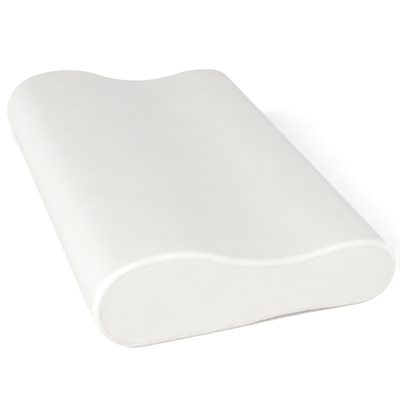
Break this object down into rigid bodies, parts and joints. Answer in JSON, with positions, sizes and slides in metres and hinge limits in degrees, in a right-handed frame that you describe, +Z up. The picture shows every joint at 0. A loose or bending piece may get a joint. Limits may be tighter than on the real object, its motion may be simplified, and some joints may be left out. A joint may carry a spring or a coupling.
{
  "type": "contour bed pillow",
  "caption": "Wave-shaped foam bed pillow with a high and a low lobe, an inner liner and a removable zipped cover.",
  "frame": {"origin": "centre of the pillow's footprint, at the surface that it lies on", "axes": "+X along the pillow, +Z up, high lobe on the -Y side and the zip on the +Y side"},
  "size_m": [0.497, 0.3235, 0.101],
  "materials": {
    "cover_knit": "satin",
    "liner_tricot": "satin",
    "memory_foam": "matte",
    "polyester_thread": "satin",
    "woven_tape": "matte",
    "nylon_coil": "satin",
    "plated_zinc": "satin",
    "label_satin": "satin"
  },
  "bodies": {
    "pillow": {"foam_core": "memory_foam", "liner_wrap": "liner_tricot", "liner_end_left": "liner_tricot", "liner_end_right": "liner_tricot", "liner_seam_left": "polyester_thread", "liner_seam_right": "polyester_thread", "liner_closing_seam": "polyester_thread", "cover_wrap": "cover_knit", "cover_end_left": "cover_knit", "cover_end_right": "cover_knit", "cover_seam_left": "polyester_thread", "cover_seam_right": "polyester_thread", "zip_tape_upper": "woven_tape", "zip_tape_lower": "woven_tape", "zip_coil_upper": "nylon_coil", "zip_coil_lower": "nylon_coil", "hem_stitch_upper": "polyester_thread", "hem_stitch_lower": "polyester_thread", "zip_top_stops": "plated_zinc", "zip_bottom_stop": "plated_zinc", "care_label": "label_satin", "label_stitch": "polyester_thread"},
    "slider": {"zip_slider": "plated_zinc"},
    "pull": {"zip_pull": "plated_zinc"}
  },
  "joints": [
    {"name": "slider_travel", "type": "slide", "parent": "pillow", "child": "slider", "axis": [-1, 0, 0], "range_m": [0, 0.378]},
    {"name": "pull_swing", "type": "hinge", "parent": "slider", "child": "pull", "pos_m": [0.1896, 0.16175, 0.038], "axis": [0, 0, -1], "range_deg": [0, 180]}
  ]
}
